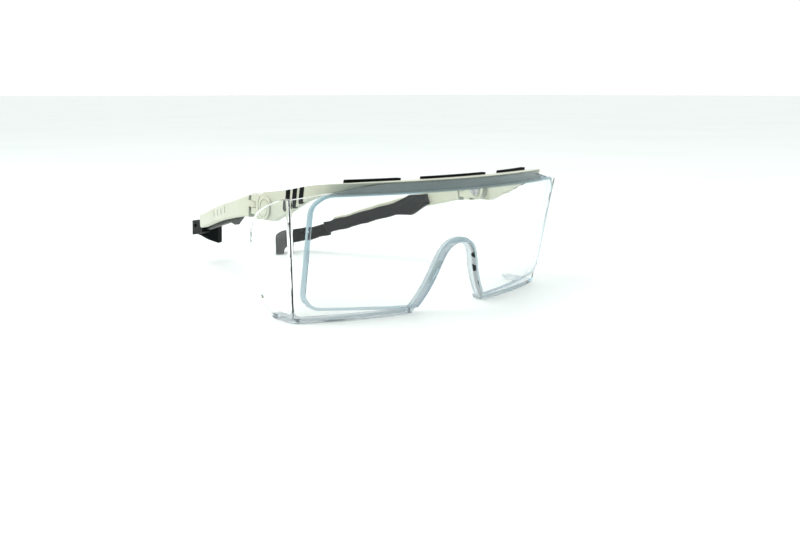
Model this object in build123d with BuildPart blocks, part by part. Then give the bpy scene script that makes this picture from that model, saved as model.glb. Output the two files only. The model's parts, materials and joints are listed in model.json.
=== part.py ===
from build123d import *
import os
from math import atan, cos, radians, sin, sqrt

os.makedirs("parts", exist_ok=True)

# Clear safety spectacles worn over ordinary glasses, standing open on a table.
# +X is the wearer's left, +Y runs back towards the ear tips, +Z is up, z = 0 is the table.
# All sizes are millimetres. Heights and depths are first laid out from the lens's foot at
# x = 0, and the finished pieces are moved so the origin is under the middle of the whole part.

# ---- driving dimensions ----
lens_radius = 160.0          # plan radius of the window's front face
lens_front = -5.3            # window's front face at x = 0 on the table plane
lens_lean = 0.2125           # forward lean of the lens, mm per mm of height
window_step = 1.4            # window stands this far proud of the wall round it
wall = 2.2                   # lens wall thickness
lens_height = 55.6           # top edge of the lens
shield_foot_half = 70.0      # half width outside the side shields at the table
shield_flare = 0.12          # side shields widen this much per mm of height
shield_reach = 38.0          # rearmost point of the side shields
shield_corner = 3.0          # plan radius between lens front and side shield
bead_width = 1.2             # raised bead round the window
bead_height = 0.5            # bead above the window
window_half = 68.4           # half width of the window
nose_half = 20.5             # half width of the nose opening at the table
nose_height = 28.8           # top of the nose opening
nose_flange_depth = 5.5      # saddle flange, from the window's front face back
skirt_depth = 3.5            # inward lip along the lower edge
skirt_thickness = 1.8        # height of that lip

brow_gap = 0.2               # between lens back and brow bar
brow_depth = 6.0             # front to back depth of the brow bar
brow_top = lens_height + 0.4  # top of the brow bar
brow_bottom = lens_height - 4.0  # underside of the brow bar in front
rail_face = 63.5             # outer face of the side rail and temple at the hinge
rail_thickness = 3.2         # side rail
pad_thickness = 2.2          # forehead pads
pad_rise = 0.9               # pads stand above the brow bar

pivot_y = 40.0               # tilt pivot
pivot_z = 43.5
disc_radius = 4.7            # cap on the tilt pivot
disc_thickness = 1.0
screw_radius = 1.6
screw_head_radius = 2.9
screw_head_height = 1.2
plate_thickness = 2.8        # inner plate of the tilt block
side_gap = 0.2               # between rail and tilt block, and screw head and block
rail_end_radius = 6.5        # round rear end of the rail about the pivot
running_clearance = 0.05     # radial, moving pins
fixed_clearance = 0.02       # radial, fixed pins
tilt_left = -1.3             # degrees, how the left temple rests
tilt_right = 3.4             # degrees, how the right temple rests

knuckle_radius = 2.6
fold_x = rail_face - knuckle_radius  # fold hinge axis
fold_y = 51.5
knuckle_gap = 0.15
hinge_bottom = 39.2
hinge_top = 47.4
fold_pin_radius = 1.0

temple_start = 54.3          # front face of the temple shell
temple_straight = 72.0       # from here back the temple runs straight
temple_toe_in = 0.285        # inward run per mm back
temple_end = 136.0           # rear end of the white shell
temple_thickness = 4.2
temple_fall = 0.278          # drop per mm back of the sliding direction
groove_depth = 2.0           # dovetail groove for the slider
groove_mouth = 2.2           # groove height at the inner face
groove_floor = 3.4           # groove height at its floor
slide_clearance = 0.15
tang_height = 4.0            # slider's tail inside the ear tip
tang_thickness = 1.6
tang_length = 7.0
tang_clearance = 0.05
slider_thickness = 2.2
slider_height = 6.4
slider_front = 74.5          # blunt front end of the diamond grip
slider_tail = 140.0          # rear end of the slider's flat strip
mark_pitch = 6.6             # between the four length marks
tip_front = 139.5            # front end of the soft ear tip
tip_thickness = 4.6
tip_height = 8.4
tip_bend = 168.5             # rearmost point of the ear tip
hook_end = 15.5              # x of the free end of the hook
cord_slot_y = 154.0          # slot for a neck cord
cord_slot_length = 5.0
cord_slot_height = 1.8

lean = (0, -lens_lean, 1)
stock_top = lens_height + 5.0  # the lens is built this high, then trimmed to its top edge
pin_seat = rail_face - rail_thickness


def sag(x, radius):
    """Depth of a circular arc at half chord x."""
    return radius - sqrt(radius * radius - x * x)


def shell_outline(height, inset):
    """Plan outline of the lens front and shields at one height, closed behind the shields."""
    half = shield_foot_half + shield_flare * height - inset
    front = lens_front - lens_lean * height + window_step + inset
    radius = lens_radius - window_step - inset
    back = 70.0
    with BuildSketch(Plane.XY.offset(height)) as outline:
        with BuildLine():
            ThreePointArc(
                (-half, front + sag(half, radius)), (0, front), (half, front + sag(half, radius))
            )
            Polyline(
                (half, front + sag(half, radius)),
                (half, back),
                (-half, back),
                (-half, front + sag(half, radius)),
            )
        make_face()
        corners = outline.vertices().filter_by(lambda v: v.Y < back - 1)
        fillet(corners, max(shield_corner - inset, 1.0))
    return outline.sketch


def shell_body(inset, low, high):
    """Solid between two heights whose faces follow the lens front and the shields."""
    with BuildPart() as body:
        loft([shell_outline(low, inset), shell_outline(high, inset)], ruled=True)
    return body.part


def curved_slab(near, far, low, high, half):
    """Slab that follows the leaning window, between two depths behind its front face."""
    with BuildPart() as slab:
        with BuildSketch(Plane.XY.offset(low)):
            with BuildLine():
                start = lens_front - lens_lean * low
                near_edge = start + near + sag(half, lens_radius - near)
                far_edge = start + far + sag(half, lens_radius - far)
                ThreePointArc((-half, near_edge), (0, start + near), (half, near_edge))
                Line((half, near_edge), (half, far_edge))
                ThreePointArc((half, far_edge), (0, start + far), (-half, far_edge))
                Line((-half, far_edge), (-half, near_edge))
            make_face()
        extrude(amount=(high - low) * sqrt(1 + lens_lean * lens_lean), dir=lean)
    return slab.part


def nose_outline(grow):
    """Front view of the nose opening, enlarged by grow."""
    with BuildSketch(Plane.XZ) as nose:
        with BuildLine():
            Spline(
                (0, nose_height + grow),
                (nose_half * 0.51 + grow, nose_height * 0.62),
                (nose_half * 0.85 + grow, nose_height * 0.15),
                (nose_half * 1.2 + grow, -5),
                tangents=[(1, 0), (0.7, -1)],
            )
            mirror(about=Plane.YZ)
            Line((nose_half * 1.2 + grow, -5), (-nose_half * 1.2 - grow, -5))
        make_face()
    return nose.sketch


def window_outline(inset):
    """Front view of the raised window, drawn in by inset."""
    half = window_half - inset
    top = lens_height - 3.2 - inset
    with BuildSketch(Plane.XZ) as window:
        with BuildLine():
            Polyline(
                (0, 1.2 + inset),
                (half, 5.6 + inset),
                (half + 0.7, top),
                (-half - 0.7, top),
                (-half, 5.6 + inset),
                (0, 1.2 + inset),
            )
        make_face()
        fillet(window.vertices().filter_by(lambda v: abs(v.X) > 1), 8.0 - inset)
    return window.sketch


def shield_profile():
    """Side view of the lens with its shields."""
    with BuildSketch(Plane.YZ) as profile:
        with BuildLine():
            Polyline((26, 0), (-40, 0), (-40, stock_top), (-8, stock_top),
                     (-6, lens_height - 1), (-1, lens_height - 3))
            Spline(
                (-1, lens_height - 3),
                (19, lens_height - 8),
                (32, 41),
                (shield_reach, 28),
                (35.5, 11),
                (26, 0),
                tangents=[(1, -0.16), (-0.85, -0.5)],
            )
        make_face()
    return profile.sketch


def top_outline():
    """Front view of everything kept below the lens's top edge."""
    with BuildSketch(Plane.XZ) as keep:
        with BuildLine():
            Line((-90, -1), (90, -1))
            Line((90, -1), (90, lens_height - 7))
            Spline((90, lens_height - 7), (61, lens_height - 3), (38, lens_height),
                   tangents=[(-1, 0.1), (-1, 0)])
            Line((38, lens_height), (-38, lens_height))
            Spline((-38, lens_height), (-61, lens_height - 3), (-90, lens_height - 7),
                   tangents=[(-1, 0), (-1, -0.1)])
            Line((-90, lens_height - 7), (-90, -1))
        make_face()
    return keep.sketch


# ---- lens: window, wall, shields, skirt and nose saddle in one clear piece ----
with BuildPart() as window_pad:
    add(curved_slab(0, window_step + wall - 0.1, 0, stock_top, window_half + 4))
    extrude(window_outline(0), amount=60, both=True, mode=Mode.INTERSECT)

with BuildPart() as window_recess:
    add(curved_slab(-1, bead_height, 0, stock_top, window_half + 6))
    extrude(window_outline(bead_width), amount=60, both=True, mode=Mode.INTERSECT)
    extrude(nose_outline(bead_width), amount=60, both=True, mode=Mode.SUBTRACT)

with BuildPart() as skirt_lip:
    add(shell_body(wall / 2, 0, skirt_thickness))
    add(shell_body(wall + skirt_depth, -1, skirt_thickness + 1), mode=Mode.SUBTRACT)

with BuildPart() as nose_flange:
    add(curved_slab(window_step + 0.4, nose_flange_depth, 0, nose_height + 8, nose_half + 12))
    extrude(nose_outline(wall), amount=60, both=True, mode=Mode.INTERSECT)

with BuildPart() as lens:
    add(shell_body(0, 0, stock_top))
    add(shell_body(wall, -1, stock_top + 1), mode=Mode.SUBTRACT)
    add(skirt_lip.part)
    add(window_pad.part)
    add(nose_flange.part)
    add(window_recess.part, mode=Mode.SUBTRACT)
    extrude(nose_outline(0), amount=60, both=True, mode=Mode.SUBTRACT)
    extrude(shield_profile(), amount=90, both=True, mode=Mode.INTERSECT)
    extrude(top_outline(), amount=90, both=True, mode=Mode.INTERSECT)
lens.part.label = "lens"


# ---- brow bar and its side rails ----
def brow_strip(front, back, side_front, side_back, rear):
    """Plan strip behind the lens that turns back into the two side rails."""
    turn = 50.0
    near = lens_front + front
    far = lens_front + back
    near_turn = near + sag(turn, lens_radius - front)
    far_turn = far + sag(turn, lens_radius - back)
    slope = turn / sqrt(lens_radius * lens_radius - turn * turn)
    with BuildSketch(Plane.XY) as strip:
        with BuildLine():
            ThreePointArc((-turn, near_turn), (0, near), (turn, near_turn))
            Spline((turn, near_turn), (side_front, near_turn + 16), tangents=[(1, slope), (0, 1)])
            Polyline((side_front, near_turn + 16), (side_front, rear), (side_back, rear),
                     (side_back, far_turn + 15))
            Spline((side_back, far_turn + 15), (turn, far_turn), tangents=[(0, -1), (-1, -slope)])
            ThreePointArc((turn, far_turn), (0, far), (-turn, far_turn))
            Spline((-turn, far_turn), (-side_back, far_turn + 15), tangents=[(-1, slope), (0, 1)])
            Polyline((-side_back, far_turn + 15), (-side_back, rear), (-side_front, rear),
                     (-side_front, near_turn + 16))
            Spline((-side_front, near_turn + 16), (-turn, near_turn), tangents=[(0, -1), (1, -slope)])
        make_face()
    return strip.sketch


def rail_profile():
    """Side view of the brow bar and its rail, with the pointed lower corner."""
    end = pivot_y + rail_end_radius
    with BuildSketch(Plane.YZ) as profile:
        with BuildLine():
            Spline((-8, brow_top), (3, brow_top - 0.4), (20, brow_top - 3.2), (pivot_y, pivot_z + rail_end_radius),
                   tangents=[(1, 0), (1, -0.12)])
            CenterArc((pivot_y, pivot_z), rail_end_radius, -40, 130)
            low = (pivot_y + rail_end_radius * cos(radians(40)),
                   pivot_z - rail_end_radius * sin(radians(40)))
            Polyline(low, (low[0] - 1.2, 38.6), (34.0, 38.6), (17, brow_bottom - 5))
            Spline((17, brow_bottom - 5), (6, brow_bottom - 0.8), (-4, brow_bottom), tangents=[(-1, 0.48), (-1, 0)])
            Polyline((-4, brow_bottom), (-40, brow_bottom), (-40, brow_top), (-8, brow_top))
        make_face()
    return profile.sketch


def slash_outline(index, grow):
    """Side view of one slanted inlay; index 0 is the front one."""
    foot_y = (14.8, 19.7, 24.6)[index]
    foot_z = (48.3, 46.4, 44.9)[index]
    with BuildSketch(Plane.YZ) as slash:
        with BuildLine():
            half = 1.35 + grow
            Line((foot_y + half, foot_z), (foot_y - 2.6 + half, stock_top))
            Line((foot_y - 2.6 + half, stock_top), (foot_y - 2.6 - half, stock_top))
            Line((foot_y - 2.6 - half, stock_top), (foot_y - half, foot_z))
            ThreePointArc((foot_y - half, foot_z), (foot_y, foot_z - half), (foot_y + half, foot_z))
        make_face()
    return slash.sketch


slash_depth = 1.4            # inlays are let this far into the rail
slash_proud = 0.25           # and stand this far out of it

with BuildPart() as brow_bar:
    extrude(
        brow_strip(
            window_step + wall + brow_gap,
            window_step + wall + brow_gap + brow_depth,
            rail_face,
            rail_face - rail_thickness,
            70,
        ),
        amount=(stock_top + 2) * sqrt(1 + lens_lean * lens_lean),
        dir=lean,
    )
    extrude(rail_profile(), amount=90, both=True, mode=Mode.INTERSECT)
    with Locations((rail_face - 5, pivot_y, pivot_z), (-rail_face - 5, pivot_y, pivot_z)):
        Cylinder(
            screw_radius + fixed_clearance,
            10,
            rotation=(0, 90, 0),
            align=(Align.CENTER, Align.CENTER, Align.MIN),
            mode=Mode.SUBTRACT,
        )
    for index in range(3):
        for side in (1, -1):
            cutter = extrude(
                slash_outline(index, fixed_clearance), amount=slash_depth + 5, mode=Mode.PRIVATE
            )
            start = rail_face - slash_depth if side > 0 else -rail_face - 5
            add(cutter.moved(Location((start, 0, 0))), mode=Mode.SUBTRACT)
brow_bar.part.label = "brow_bar"


def forehead_pad(low_x, high_x, name):
    """Soft strip on the back of the brow bar between two x positions."""
    front = window_step + wall + brow_gap + brow_depth + 0.05
    with BuildPart() as pad:
        add(curved_slab(front, front + pad_thickness, brow_bottom - 6, stock_top + 2, 52))
        with Locations(((low_x + high_x) / 2, 0, (brow_bottom + brow_top + pad_rise - 0.6) / 2)):
            Box(
                high_x - low_x, 80, brow_top + pad_rise - brow_bottom + 0.6, mode=Mode.INTERSECT
            )
        ends = pad.edges().filter_by(lambda e: abs(e.center().X - low_x) < 0.3
                                     or abs(e.center().X - high_x) < 0.3)
        fillet(ends, 0.5)
    pad.part.label = name
    return pad.part


pads = [
    forehead_pad(-18, 18, "brow_pad_centre"),
    forehead_pad(28, 51, "brow_pad_left"),
    forehead_pad(-51, -28, "brow_pad_right"),
]

# ---- one side, drawn for the left; the right one is its mirror image ----
toe = atan(temple_toe_in)
bend_radius = (temple_straight - temple_start) / sin(toe)
bend_centre = (rail_face - bend_radius, temple_start)
run = (-sin(toe), cos(toe))
straight_x = bend_centre[0] + bend_radius * cos(toe)
slider_mid_y = 100.0         # the slider's middle line passes here
slider_mid_z = 29.3          # at this height
groove_rise = 1.8            # the groove is this far above the slider's middle line
block_back = fold_y - knuckle_radius - 0.3
block_inner = pin_seat - side_gap - plate_thickness
knuckle_low = hinge_bottom + 2.6
knuckle_high = hinge_top - 2.6


def beside(y, inset):
    """Plan point level with y on the temple's straight stretch, inset from its outer face."""
    along = (y - temple_straight) / cos(toe)
    return (
        straight_x + along * run[0] - inset * cos(toe),
        temple_straight + along * run[1] - inset * sin(toe),
    )


# The slider's own plane: x runs back along the slide, y is up, z points away from the head.
slide_run = Vector(run[0], run[1], -temple_fall * cos(toe)).normalized()
outward = Vector(cos(toe), sin(toe), 0)
anchor = beside(slider_mid_y, temple_thickness)
slide_plane = Plane(
    origin=(anchor[0], anchor[1], slider_mid_z), x_dir=slide_run, z_dir=outward
)


def slide_at(y):
    """Distance along the slider's middle line that is level with y."""
    return (y - slider_mid_y) / slide_run.Y


def dovetail(grow, front, rear):
    """Dovetail bar in the groove's place, enlarged by grow on every side."""
    section = Plane(
        origin=slide_plane.from_local_coords(Vector(front, groove_rise, 0)),
        x_dir=outward,
        z_dir=slide_run,
    )
    mouth = groove_mouth / 2 + grow
    floor = groove_floor / 2 + grow
    with BuildPart() as bar:
        with BuildSketch(section):
            with BuildLine():
                Polyline(
                    (-slide_clearance - 0.4, mouth),
                    (0, mouth),
                    (groove_depth - slide_clearance + grow, floor),
                    (groove_depth - slide_clearance + grow, -floor),
                    (0, -mouth),
                    (-slide_clearance - 0.4, -mouth),
                    (-slide_clearance - 0.4, mouth),
                )
            make_face()
        extrude(amount=rear - front)
    return bar.part


# tilt screw and its cap
head_face = block_inner - side_gap - screw_head_height
with BuildPart() as tilt_screw:
    with BuildSketch(Plane.YZ.offset(head_face)):
        with Locations((pivot_y, pivot_z)):
            Circle(screw_head_radius)
    extrude(amount=screw_head_height)
    chamfer(tilt_screw.edges().group_by(Axis.X)[0], 0.25)
    with BuildSketch(Plane.YZ.offset(head_face)):
        with Locations((pivot_y, pivot_z)):
            Circle(screw_radius)
    extrude(amount=rail_face - 0.1 - head_face)
    with BuildSketch(Plane.YZ.offset(head_face)):
        with Locations((pivot_y, pivot_z)):
            Rectangle(2 * screw_head_radius, 0.7)
            Rectangle(0.7, 2 * screw_head_radius)
    extrude(amount=0.6, mode=Mode.SUBTRACT)

with BuildPart() as tilt_disc:
    with BuildSketch(Plane.YZ.offset(rail_face)):
        with Locations((pivot_y, pivot_z)):
            Circle(disc_radius)
    extrude(amount=disc_thickness)
    fillet(tilt_disc.edges().group_by(Axis.X)[-1], 0.35)
    with BuildSketch(Plane.YZ.offset(rail_face + disc_thickness)):
        with Locations((pivot_y, pivot_z)):
            Circle(disc_radius - 1.0)
            Circle(disc_radius - 1.4, mode=Mode.SUBTRACT)
    extrude(amount=-0.3, mode=Mode.SUBTRACT)

# hinge block: inner plate on the screw, outer body behind the rail, two knuckles
with BuildPart() as tilt_block:
    with BuildSketch(Plane.YZ.offset(block_inner)):
        with Locations((pivot_y, pivot_z)):
            Circle(5.0)
        with Locations(((pivot_y + block_back) / 2, (hinge_bottom + hinge_top) / 2)):
            Rectangle(block_back - pivot_y, hinge_top - hinge_bottom)
    extrude(amount=plate_thickness)
    with BuildSketch(Plane.YZ.offset(block_inner)):
        with Locations(((pivot_y + block_back) / 2, (hinge_bottom + hinge_top) / 2 - 0.3)):
            Rectangle(block_back - pivot_y, hinge_top - hinge_bottom + 1.6)
        with Locations((pivot_y, pivot_z)):
            Circle(rail_end_radius + 0.3, mode=Mode.SUBTRACT)
    extrude(amount=rail_face - block_inner)
    for low, high in ((hinge_bottom, knuckle_low), (knuckle_high, hinge_top)):
        with BuildSketch(Plane.XY.offset(low)):
            with Locations((fold_x, fold_y)):
                Circle(knuckle_radius)
            with Locations((fold_x, (fold_y + block_back - 1) / 2)):
                Rectangle(2 * knuckle_radius, fold_y - block_back + 1)
        extrude(amount=high - low)
    with Locations((fold_x, fold_y, hinge_bottom - 1)):
        Cylinder(
            fold_pin_radius + fixed_clearance,
            hinge_top - hinge_bottom + 2,
            align=(Align.CENTER, Align.CENTER, Align.MIN),
            mode=Mode.SUBTRACT,
        )
    with Locations((block_inner - 1, pivot_y, pivot_z)):
        Cylinder(
            screw_radius + running_clearance,
            plate_thickness + 2,
            rotation=(0, 90, 0),
            align=(Align.CENTER, Align.CENTER, Align.MIN),
            mode=Mode.SUBTRACT,
        )

with BuildPart() as fold_pin:
    with Locations((fold_x, fold_y, hinge_bottom)):
        Cylinder(
            fold_pin_radius,
            hinge_top - hinge_bottom,
            align=(Align.CENTER, Align.CENTER, Align.MIN),
        )
    chamfer(fold_pin.edges(), 0.2)


def temple_profile():
    """Side view of the white temple shell."""
    with BuildSketch(Plane.YZ) as profile:
        with BuildLine():
            Spline((temple_start, 46.8), (60, 45.1), (91, 36.8), (temple_end, 23.7),
                   tangents=[(1, -0.22), (1, -0.28)])
            Line((temple_end, 23.7), (temple_end - 1.6, 17.3))
            Spline((temple_end - 1.6, 17.3), (102.5, 26.5), (72, 33.9), (temple_start, 37.2),
                   tangents=[(-1, 0.27), (-1, 0.1)])
            Line((temple_start, 37.2), (temple_start, 46.8))
        make_face()
        rear = profile.vertices().filter_by(lambda v: v.Y > temple_end - 3)
        fillet(rear, 2.2)
    return profile.sketch


# white outer temple shell
with BuildPart() as temple_shell:
    with BuildSketch(Plane.XY.offset(10)):
        with BuildLine():
            inner_radius = bend_radius - temple_thickness
            outer_mid = (bend_centre[0] + bend_radius * cos(toe / 2),
                         bend_centre[1] + bend_radius * sin(toe / 2))
            inner_mid = (bend_centre[0] + inner_radius * cos(toe / 2),
                         bend_centre[1] + inner_radius * sin(toe / 2))
            ThreePointArc((rail_face, temple_start), outer_mid, beside(temple_straight, 0))
            Line(beside(temple_straight, 0), beside(temple_end, 0))
            Line(beside(temple_end, 0), beside(temple_end, temple_thickness))
            Line(beside(temple_end, temple_thickness), beside(temple_straight, temple_thickness))
            ThreePointArc(beside(temple_straight, temple_thickness), inner_mid,
                          (rail_face - temple_thickness, temple_start))
            Line((rail_face - temple_thickness, temple_start), (rail_face, temple_start))
        make_face()
    extrude(amount=45)
    extrude(temple_profile(), amount=90, mode=Mode.INTERSECT)
    long_edges = temple_shell.edges().filter_by(
        lambda e: e.length > temple_end - temple_straight
    )
    fillet(long_edges, 0.9)
    with BuildSketch(Plane.XY.offset(knuckle_low + knuckle_gap)):
        with Locations((fold_x, fold_y)):
            Circle(knuckle_radius)
        with Locations((fold_x, (fold_y + temple_start + 1) / 2)):
            Rectangle(2 * knuckle_radius, temple_start + 1 - fold_y)
    extrude(amount=knuckle_high - knuckle_low - 2 * knuckle_gap)
    with Locations((fold_x, fold_y, hinge_bottom)):
        Cylinder(
            fold_pin_radius + running_clearance,
            hinge_top - hinge_bottom,
            align=(Align.CENTER, Align.CENTER, Align.MIN),
            mode=Mode.SUBTRACT,
        )
    add(dovetail(slide_clearance, slide_at(80), slide_at(160)), mode=Mode.SUBTRACT)
    for step in range(4):
        mark_y = slider_mid_y - 14.5 + step * mark_pitch
        with BuildSketch(slide_plane):
            with Locations((slide_at(mark_y), groove_rise)):
                Rectangle(0.9, 3.0)
        extrude(amount=temple_thickness + 2, mode=Mode.SUBTRACT)

# black slider: strip, diamond grip, dovetail tongue and tail for the ear tip
slider_face = slide_plane.offset(-slide_clearance)
with BuildPart() as slider:
    with BuildSketch(slider_face):
        with BuildLine():
            half = slider_height / 2
            Polyline(
                (slide_at(slider_front), 3.2),
                (slide_at(83.5), 4.9),
                (slide_at(94), half),
                (slide_at(slider_tail), half),
                (slide_at(slider_tail), -half),
                (slide_at(94), -half),
                (slide_at(86), -5.2),
                (slide_at(slider_front), -2.2),
                (slide_at(slider_front), 3.2),
            )
        make_face()
    extrude(amount=-slider_thickness)
    with BuildSketch(slider_face.offset(-slider_thickness)):
        with BuildLine():
            Polyline(
                (slide_at(slider_front + 2.5), 1.6),
                (slide_at(83.5), 3.2),
                (slide_at(91), 1.4),
                (slide_at(91), -1.6),
                (slide_at(86), -3.5),
                (slide_at(slider_front + 2.5), -0.8),
                (slide_at(slider_front + 2.5), 1.6),
            )
        make_face()
    extrude(amount=-0.9, taper=30)
    with BuildSketch(slider_face.offset(-0.3)):
        with Locations((slide_at(slider_tail) + tang_length / 2, 0)):
            Rectangle(tang_length, tang_height)
    extrude(amount=-tang_thickness)
    add(dovetail(0, slide_at(86), slide_at(135)))


def hook_strip(half):
    """Plan strip of the ear tip: straight, then a tight turn inwards and a short paddle."""
    middle = temple_thickness + slide_clearance + slider_thickness - tip_thickness / 2
    start = beside(tip_front, middle)
    turn_at = beside(tip_bend - 8, middle)
    turn_radius = 6.0
    turn_end = radians(145)
    centre = (turn_at[0] - turn_radius * cos(toe), turn_at[1] - turn_radius * sin(toe))

    def on_turn(radius, angle):
        return (centre[0] + radius * cos(angle), centre[1] + radius * sin(angle))

    def side(offset):
        return [
            (start[0] + offset * cos(toe), start[1] + offset * sin(toe)),
            on_turn(turn_radius + offset, toe),
            on_turn(turn_radius + offset, (toe + turn_end) / 2),
            on_turn(turn_radius + offset, turn_end),
        ]

    outer = side(half)
    inner = side(-half)
    paddle = (outer[3][0] - hook_end) / sin(turn_end) - half
    tail = (-paddle * sin(turn_end), paddle * cos(turn_end))
    outer_end = (outer[3][0] + tail[0], outer[3][1] + tail[1])
    inner_end = (inner[3][0] + tail[0], inner[3][1] + tail[1])
    with BuildSketch(Plane.XY) as strip:
        with BuildLine():
            Line(outer[0], outer[1])
            ThreePointArc(outer[1], outer[2], outer[3])
            Line(outer[3], outer_end)
            Line(outer_end, inner_end)
            Line(inner_end, inner[3])
            ThreePointArc(inner[3], inner[2], inner[1])
            Line(inner[1], inner[0])
            Line(inner[0], outer[0])
        make_face()
    return strip.sketch


split_x = 27.5               # the paddle's own outline takes over inboard of here
# underside of the hook's free end, at level tilt, so it just clears the table when tilted
hook_foot = (tip_bend - pivot_y) * sin(radians(-tilt_left))
with BuildPart() as ear_tip_arm:
    extrude(hook_strip(tip_thickness / 2), amount=30)
    with BuildSketch(Plane.YZ):
        with BuildLine():
            Spline((tip_front - 4, 21.1), (152, 17.4), (tip_bend + 2, 14.6),
                   tangents=[(1, -0.26), (1, -0.10)])
            Line((tip_bend + 2, 14.6), (tip_bend + 2, 6.4))
            Spline((tip_bend + 2, 6.4), (152, 10.4), (tip_front - 4, 14.8),
                   tangents=[(-1, 0.16), (-1, 0.28)])
            Line((tip_front - 4, 14.8), (tip_front - 4, 21.1))
        make_face()
    extrude(amount=60, mode=Mode.INTERSECT)
    with Locations((split_x, 0, 0)):
        Box(60, 400, 60, align=(Align.MIN, Align.CENTER, Align.CENTER), mode=Mode.INTERSECT)

with BuildPart() as ear_tip:
    extrude(hook_strip(tip_thickness / 2), amount=30)
    with BuildSketch(Plane.XZ):
        with BuildLine():
            Spline((split_x + 0.01, 15.1), (21, 13.4), (hook_end - 1, hook_foot + tip_height),
                   tangents=[(-1, -0.1), (-1, -0.45)])
            Line((hook_end - 1, hook_foot + tip_height), (hook_end - 1, hook_foot))
            Line((hook_end - 1, hook_foot), (hook_end + 3, hook_foot))
            Spline((hook_end + 3, hook_foot), (split_x + 0.01, 6.9), tangents=[(1, 0), (1, 0.3)])
            Line((split_x + 0.01, 6.9), (split_x + 0.01, 15.1))
        make_face()
    extrude(amount=-200, mode=Mode.INTERSECT)
    with Locations((0, tip_bend - 17, 0)):
        Box(200, 100, 100, align=(Align.CENTER, Align.MIN, Align.CENTER), mode=Mode.INTERSECT)
    add(ear_tip_arm.part)
    seat = Plane(
        origin=slide_plane.from_local_coords(Vector(slide_at(slider_tail) + tang_clearance, 0, 0)),
        x_dir=outward,
        z_dir=slide_run,
    )
    with BuildSketch(seat):
        Rectangle(40, 40)
    extrude(amount=-20, mode=Mode.SUBTRACT)
    with BuildSketch(slider_face.offset(-0.3 + tang_clearance)):
        with Locations((slide_at(slider_tail) + tang_length / 2, 0)):
            Rectangle(tang_length + 2 * tang_clearance, tang_height + 2 * tang_clearance)
    extrude(amount=-tang_thickness - 2 * tang_clearance, mode=Mode.SUBTRACT)
    with BuildSketch(slider_face.offset(8)):
        with Locations((slide_at(cord_slot_y), 0.4)):
            SlotOverall(cord_slot_length, cord_slot_height)
    extrude(amount=-20, mode=Mode.SUBTRACT)


def slash(index):
    """Slanted black inlay in the left rail, trimmed just outside the rail's own edge."""
    seat = rail_face - slash_depth + fixed_clearance
    with BuildPart() as inlay:
        bar = extrude(slash_outline(index, 0), amount=rail_face + slash_proud, mode=Mode.PRIVATE)
        add(bar)
        extrude(rail_profile(), amount=90, mode=Mode.INTERSECT)
        with Locations((seat, 0, 0)):
            Box(10, 400, 200, align=(Align.MIN, Align.CENTER, Align.CENTER), mode=Mode.INTERSECT)
    return inlay.part


# ---- both sides ----
side_pieces = {
    "tilt_screw": tilt_screw.part,
    "tilt_disc": tilt_disc.part,
    "slash_front": slash(0),
    "slash_middle": slash(1),
    "slash_rear": slash(2),
}
moving_pieces = {
    "tilt_block": tilt_block.part,
    "fold_pin": fold_pin.part,
    "temple_shell": temple_shell.part,
    "slider": slider.part,
    "ear_tip": ear_tip.part,
}
tilt_axis = Axis((0, pivot_y, pivot_z), (1, 0, 0))
pieces = [lens.part, brow_bar.part] + pads
for name, piece in {**side_pieces, **moving_pieces}.items():
    left = Part(piece.wrapped)
    right = mirror(left, about=Plane.YZ)
    if name in moving_pieces:
        left = left.rotate(tilt_axis, tilt_left)
        right = right.rotate(tilt_axis, tilt_right)
    left.label = "left_" + name
    right.label = "right_" + name
    pieces += [left, right]

# ---- origin under the middle of the whole part ----
front_end = min(piece.bounding_box().min.Y for piece in pieces)
rear_end = max(piece.bounding_box().max.Y for piece in pieces)
middle = (front_end + rear_end) / 2
for piece in pieces:
    placed = piece.moved(Location((0, -middle, 0)))
    placed.label = piece.label
    export_step(placed, "parts/" + piece.label + ".step")
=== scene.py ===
import json
import math

import bmesh
import bpy
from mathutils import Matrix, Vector


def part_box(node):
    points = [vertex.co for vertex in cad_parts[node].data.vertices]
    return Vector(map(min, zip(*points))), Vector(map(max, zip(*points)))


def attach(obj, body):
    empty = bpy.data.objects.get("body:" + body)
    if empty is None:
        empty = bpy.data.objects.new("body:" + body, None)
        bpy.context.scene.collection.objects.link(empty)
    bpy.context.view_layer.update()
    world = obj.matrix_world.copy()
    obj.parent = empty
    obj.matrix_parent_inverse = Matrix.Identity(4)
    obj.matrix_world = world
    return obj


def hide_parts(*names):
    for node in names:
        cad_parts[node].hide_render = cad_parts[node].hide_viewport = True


# Clear safety spectacles worn over ordinary glasses, standing open on a pale table.
# Everything is in metres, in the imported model's frame: +X is the wearer's left, +Y runs back
# towards the ear tips, +Z is up, and the table is z = 0.

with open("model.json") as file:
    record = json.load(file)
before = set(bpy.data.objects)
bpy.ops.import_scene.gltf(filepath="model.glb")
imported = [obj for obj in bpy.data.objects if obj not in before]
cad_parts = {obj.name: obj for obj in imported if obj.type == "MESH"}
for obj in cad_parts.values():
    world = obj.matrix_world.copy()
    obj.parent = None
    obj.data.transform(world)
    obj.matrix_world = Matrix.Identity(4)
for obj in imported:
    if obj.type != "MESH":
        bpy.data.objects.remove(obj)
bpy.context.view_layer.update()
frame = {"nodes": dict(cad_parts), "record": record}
nodes = frame["nodes"]
sides = ("left", "right")


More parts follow.
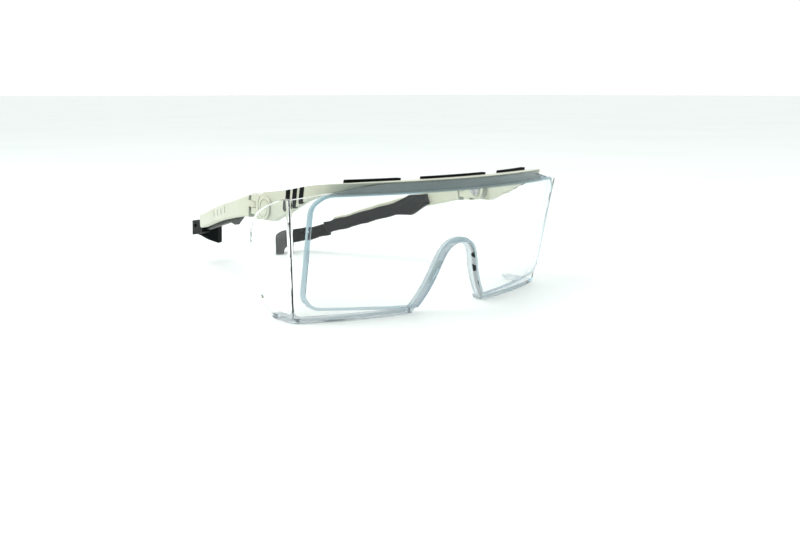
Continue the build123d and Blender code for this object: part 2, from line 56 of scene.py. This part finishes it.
# ---- shader helpers ----
class Shader:
    """A node material with short calls for the nodes that are used here."""

    def __init__(self, name):
        self.material = bpy.data.materials.new(name)
        self.material.use_nodes = True
        self.tree = self.material.node_tree
        self.tree.nodes.clear()
        self.output = self.tree.nodes.new("ShaderNodeOutputMaterial")

    def node(self, kind, **settings):
        made = self.tree.nodes.new(kind)
        for name, value in settings.items():
            if hasattr(made, name):
                setattr(made, name, value)
            else:
                made.inputs[name.replace("_", " ")].default_value = value
        return made

    def link(self, out_socket, in_socket):
        self.tree.links.new(out_socket, in_socket)

    def noise(self, scale, detail=3.0, roughness=0.5):
        place = self.node("ShaderNodeTexCoord")
        noise = self.node("ShaderNodeTexNoise")
        noise.inputs["Scale"].default_value = scale
        noise.inputs["Detail"].default_value = detail
        noise.inputs["Roughness"].default_value = roughness
        self.link(place.outputs["Object"], noise.inputs["Vector"])
        return noise.outputs["Fac"]

    def ramp(self, factor, low, high, start=0.3, end=0.7):
        ramp = self.node("ShaderNodeValToRGB")
        ramp.color_ramp.elements[0].position = start
        ramp.color_ramp.elements[1].position = end
        ramp.color_ramp.elements[0].color = (*low, 1)
        ramp.color_ramp.elements[1].color = (*high, 1)
        self.link(factor, ramp.inputs["Fac"])
        return ramp.outputs["Color"]

    def spread(self, factor, low, high):
        spread = self.node("ShaderNodeMapRange")
        spread.inputs["From Min"].default_value = 0.3
        spread.inputs["From Max"].default_value = 0.7
        spread.inputs["To Min"].default_value = low
        spread.inputs["To Max"].default_value = high
        self.link(factor, spread.inputs["Value"])
        return spread.outputs["Result"]

    def bump(self, factor, height, strength=1.0):
        bump = self.node("ShaderNodeBump")
        bump.inputs["Strength"].default_value = strength
        bump.inputs["Distance"].default_value = height
        self.link(factor, bump.inputs["Height"])
        return bump.outputs["Normal"]


def clear_polycarbonate(name, tint_and_shade_low, tint_and_shade_high, rough, through):
    """Polished clear polycarbonate, tinted where light runs a long way inside.

    The refraction and shine are set below those of real polycarbonate, for looks only. The darker, less
    clear colours given for the bead and rim are painted shade. They stand in for the darkening that
    refraction and shadow give the lens's edges and top band.
    """
    s = Shader(name)
    body = s.node("ShaderNodeBsdfPrincipled")
    body.inputs["Transmission Weight"].default_value = through
    body.inputs["IOR"].default_value = 1.30
    body.inputs["Specular IOR Level"].default_value = 0.14
    s.link(s.ramp(s.noise(18.0, 2.0), tint_and_shade_low, tint_and_shade_high), body.inputs["Base Color"])
    s.link(s.spread(s.noise(60.0, 4.0), rough * 0.4, rough), body.inputs["Roughness"])
    s.link(s.bump(s.noise(9.0, 1.0), 0.00002, 0.3), body.inputs["Normal"])
    s.link(body.outputs["BSDF"], s.output.inputs["Surface"])
    depth = s.node("ShaderNodeVolumeAbsorption")
    depth.inputs["Color"].default_value = (0.60, 0.78, 0.82, 1)
    depth.inputs["Density"].default_value = 5.0
    s.link(depth.outputs["Volume"], s.output.inputs["Volume"])
    return s.material


def white_nylon():
    """Satin white nylon. Faces turned forward are darker, which stands in for the lens's shade."""
    s = Shader("white_nylon")
    body = s.node("ShaderNodeBsdfPrincipled")
    geometry = s.node("ShaderNodeNewGeometry")
    split = s.node("ShaderNodeSeparateXYZ")
    s.link(geometry.outputs["Normal"], split.inputs["Vector"])
    facing = s.node("ShaderNodeMapRange")
    facing.inputs["From Min"].default_value = -0.55
    facing.inputs["From Max"].default_value = -0.9
    s.link(split.outputs["Y"], facing.inputs["Value"])
    mix = s.node("ShaderNodeMix", data_type="RGBA")
    s.link(facing.outputs["Result"], mix.inputs[0])
    s.link(s.ramp(s.noise(45.0, 3.0), (0.52, 0.54, 0.43), (0.58, 0.60, 0.49)), mix.inputs[6])
    s.link(s.ramp(s.noise(30.0, 3.0), (0.28, 0.31, 0.25), (0.38, 0.41, 0.36)), mix.inputs[7])
    s.link(mix.outputs[2], body.inputs["Base Color"])
    s.link(s.spread(s.noise(900.0, 2.0), 0.30, 0.44), body.inputs["Roughness"])
    s.link(s.bump(s.noise(2600.0, 2.0), 0.00001, 0.35), body.inputs["Normal"])
    body.inputs["Subsurface Weight"].default_value = 0.15
    body.inputs["Subsurface Radius"].default_value = (1.0, 1.0, 0.8)
    body.inputs["Subsurface Scale"].default_value = 0.0008
    body.inputs["Specular IOR Level"].default_value = 0.3
    body.inputs["IOR"].default_value = 1.53
    s.link(body.outputs["BSDF"], s.output.inputs["Surface"])
    return s.material


def black_plastic(name, low, high, rough_low, rough_high, grain, height, shine):
    """Moulded black plastic or elastomer with its grain."""
    s = Shader(name)
    body = s.node("ShaderNodeBsdfPrincipled")
    s.link(s.ramp(s.noise(70.0, 3.0), low, high), body.inputs["Base Color"])
    s.link(s.spread(s.noise(grain * 0.4, 3.0), rough_low, rough_high), body.inputs["Roughness"])
    s.link(s.bump(s.noise(grain, 3.0, 0.6), height, 0.6), body.inputs["Normal"])
    body.inputs["Specular IOR Level"].default_value = shine
    s.link(body.outputs["BSDF"], s.output.inputs["Surface"])
    return s.material


def steel():
    """Turned stainless steel of the pins and screws."""
    s = Shader("stainless_steel")
    body = s.node("ShaderNodeBsdfPrincipled")
    body.inputs["Metallic"].default_value = 1.0
    s.link(s.ramp(s.noise(400.0, 2.0), (0.50, 0.50, 0.51), (0.64, 0.64, 0.65)), body.inputs["Base Color"])
    s.link(s.spread(s.noise(1500.0, 2.0), 0.2, 0.38), body.inputs["Roughness"])
    s.link(s.bump(s.noise(3000.0, 2.0), 0.000004, 0.4), body.inputs["Normal"])
    s.link(body.outputs["BSDF"], s.output.inputs["Surface"])
    return s.material


clear = clear_polycarbonate("clear_polycarbonate", (0.975, 0.99, 0.985), (0.99, 1.0, 0.995), 0.012, 1.0)
# Bead and rim: darker blue-grey, less clear copies of the lens material. They are painted shade for the
# lens's edges, lower lip, nose flange and top band.
bead = clear_polycarbonate("polycarbonate_bead_painted_shade", (0.72, 0.78, 0.85), (0.83, 0.88, 0.93), 0.06, 0.9)
rim = clear_polycarbonate("polycarbonate_rim_painted_shade", (0.80, 0.86, 0.90), (0.88, 0.93, 0.95), 0.10, 0.55)
white = white_nylon()
soft_black = black_plastic("black_elastomer", (0.002, 0.003, 0.003), (0.005, 0.007, 0.007),
                           0.50, 0.70, 2200.0, 0.00002, 0.06)
hard_black = black_plastic("black_nylon", (0.002, 0.003, 0.004), (0.005, 0.007, 0.008),
                           0.30, 0.48, 1600.0, 0.00001, 0.16)
metal = steel()

finish_of = {"clear_polycarbonate": clear, "white_plastic": white, "black_soft": soft_black,
             "black_hard": hard_black, "steel": metal}
slot_of = {}
for part in frame["record"]["subparts"]:
    node = nodes[part["node"]]
    slot_of[part["node"]] = part["material_slot"]
    node.data.materials.clear()
    node.data.materials.append(finish_of[part["material_slot"]])


# ---- pieces with moulded edges ----
weld_distance = 2e-6
flat_angle = math.radians(0.8)   # faces flatter than this to each other are joined
sharp_angle = math.radians(32)   # edges sharper than this are rounded


def moulded(name, body, edge_radius, segments=3):
    """A copy of a CAD node's mesh with small moulded radii on its sharp edges, shown instead of it."""
    source = nodes[name]
    shape = bmesh.new()
    shape.from_mesh(source.data)
    shape.transform(source.matrix_world)
    bmesh.ops.remove_doubles(shape, verts=shape.verts, dist=weld_distance)
    bmesh.ops.dissolve_limit(
        shape, angle_limit=flat_angle, verts=shape.verts, edges=shape.edges
    )
    mesh = bpy.data.meshes.new(name + "_moulded")
    shape.to_mesh(mesh)
    shape.free()
    mesh.materials.clear()
    mesh.materials.append(finish_of[slot_of[name]])
    piece = bpy.data.objects.new(name + "_moulded", mesh)
    bpy.context.scene.collection.objects.link(piece)
    rounding = piece.modifiers.new("radius", "BEVEL")
    rounding.width = edge_radius
    rounding.segments = segments
    rounding.limit_method = "ANGLE"
    rounding.angle_limit = sharp_angle
    rounding.use_clamp_overlap = True
    for face in mesh.polygons:
        face.use_smooth = True
    tidy = piece.modifiers.new("normals", "WEIGHTED_NORMAL")
    tidy.keep_sharp = False
    tidy.weight = 80
    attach(piece, body)
    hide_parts(name)
    return piece


lens_piece = moulded("lens", "frame", 0.00022, 2)
lens_mesh = lens_piece.data
lens_mesh.materials.append(bead)
lens_mesh.materials.append(rim)
lens_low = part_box("lens")[0]
window_lean = 0.2125                   # forward lean of the window, per unit of height
window_radius = 0.160                  # plan radius of its front face
window_foot = lens_low.y + 0.01114     # its front face at the table, on the mid plane
band_low = 0.0522                      # the band above the window starts here
rim_low = 0.0019                       # top of the lip along the lower edge
nose_half = 0.030                      # the nose flange lies inside this half width
nose_top = 0.034                       # and below this height
flange_depth = 0.0040                  # and further behind the window's front than this
bead_depth = 0.0016                    # the bead and its steps end this far behind the front
bead_step = 0.0002                     # smallest depth change that counts as a step


def behind_window(point):
    """How far a point lies behind the window's front face."""
    curve = window_radius - math.sqrt(window_radius ** 2 - min(abs(point.x), 0.1) ** 2)
    return point.y - (window_foot - window_lean * point.z + curve)


# The bead, its steps and the band above the window get the bead material. The lower lip and nose flange
# get the rim material. Both paint shade onto these parts of the clear lens.
for face in lens_mesh.polygons:
    corners = [lens_mesh.vertices[v].co for v in face.vertices]
    depths = [behind_window(corner) for corner in corners]
    forward = min(depths) > -2 * bead_step and max(depths) < bead_depth
    stepped = max(depths) - min(depths) > bead_step or max(depths) < bead_step
    top_band = face.normal.y < -0.3 and min(corner.z for corner in corners) > band_low
    if top_band or (forward and stepped):
        face.material_index = 1
    elif max(corner.z for corner in corners) < rim_low:
        face.material_index = 2
    elif (max(abs(corner.x) for corner in corners) < nose_half and max(depths) > flange_depth
          and max(corner.z for corner in corners) < nose_top):
        face.material_index = 2

for side in sides:
    moulded(side + "_ear_tip", side + "_tip", 0.0011, 4)
    moulded(side + "_slider", side + "_tip", 0.0003, 3)
    moulded(side + "_temple_shell", side + "_temple", 0.00025, 3)
for pad in ("brow_pad_centre", "brow_pad_left", "brow_pad_right"):
    moulded(pad, "frame", 0.0005, 3)


# ---- table, light and camera ----
def pale_table():
    s = Shader("pale_table")
    body = s.node("ShaderNodeBsdfPrincipled")
    s.link(s.ramp(s.noise(3.0, 2.0), (0.86, 0.91, 0.87), (0.90, 0.94, 0.91)), body.inputs["Base Color"])
    s.link(s.spread(s.noise(30.0, 2.0), 0.45, 0.6), body.inputs["Roughness"])
    s.link(body.outputs["BSDF"], s.output.inputs["Surface"])
    return s.material


bpy.ops.mesh.primitive_plane_add(size=40.0, location=(0, 0, -0.0002))
table = bpy.context.object
table.name = "table"
table.data.materials.append(pale_table())

bpy.context.scene.view_settings.view_transform = "Standard"
world = bpy.data.worlds.new("studio")
bpy.context.scene.world = world
world.use_nodes = True
sky = world.node_tree
place = sky.nodes.new("ShaderNodeTexCoord")
split = sky.nodes.new("ShaderNodeSeparateXYZ")
ramp = sky.nodes.new("ShaderNodeValToRGB")
ramp.color_ramp.elements[0].position = 0.0
ramp.color_ramp.elements[0].color = (1, 1, 1, 1)
ramp.color_ramp.elements[1].position = 0.75
ramp.color_ramp.elements[1].color = (0.90, 0.93, 0.94, 1)
sky.links.new(place.outputs["Generated"], split.inputs["Vector"])
sky.links.new(split.outputs["Z"], ramp.inputs["Fac"])
sky.links.new(ramp.outputs["Color"], sky.nodes["Background"].inputs["Color"])
sky.nodes["Background"].inputs["Strength"].default_value = 1.05


def softbox(name, size, energy, place, aim):
    light = bpy.data.lights.new(name, "AREA")
    light.shape = "RECTANGLE"
    light.size, light.size_y = size
    light.energy = energy
    holder = bpy.data.objects.new(name, light)
    bpy.context.scene.collection.objects.link(holder)
    holder.location = place
    holder.rotation_euler = (Vector(aim) - Vector(place)).to_track_quat("-Z", "Y").to_euler()
    return holder


softbox("key", (0.8, 0.6), 5.0, (-0.5, 0.2, 0.8), (0, 0, 0))
softbox("fill", (0.6, 0.6), 1.5, (0.6, -0.7, 0.6), (0, 0, 0))

azimuth = math.radians(-39.886)
elevation = math.radians(10.27)
distance = 0.4261
look_at = Vector((-0.00808, lens_low.y + 0.03644, 0.0150))
back = Vector((math.sin(azimuth) * math.cos(elevation), -math.cos(azimuth) * math.cos(elevation),
               math.sin(elevation)))
camera_data = bpy.data.cameras.new("camera")
camera_data.lens = 43.48
camera_data.sensor_width = 36.0
camera = bpy.data.objects.new("camera", camera_data)
bpy.context.scene.collection.objects.link(camera)
camera.location = look_at + back * distance
camera.rotation_euler = (-back).to_track_quat("-Z", "Y").to_euler()
bpy.context.scene.camera = camera
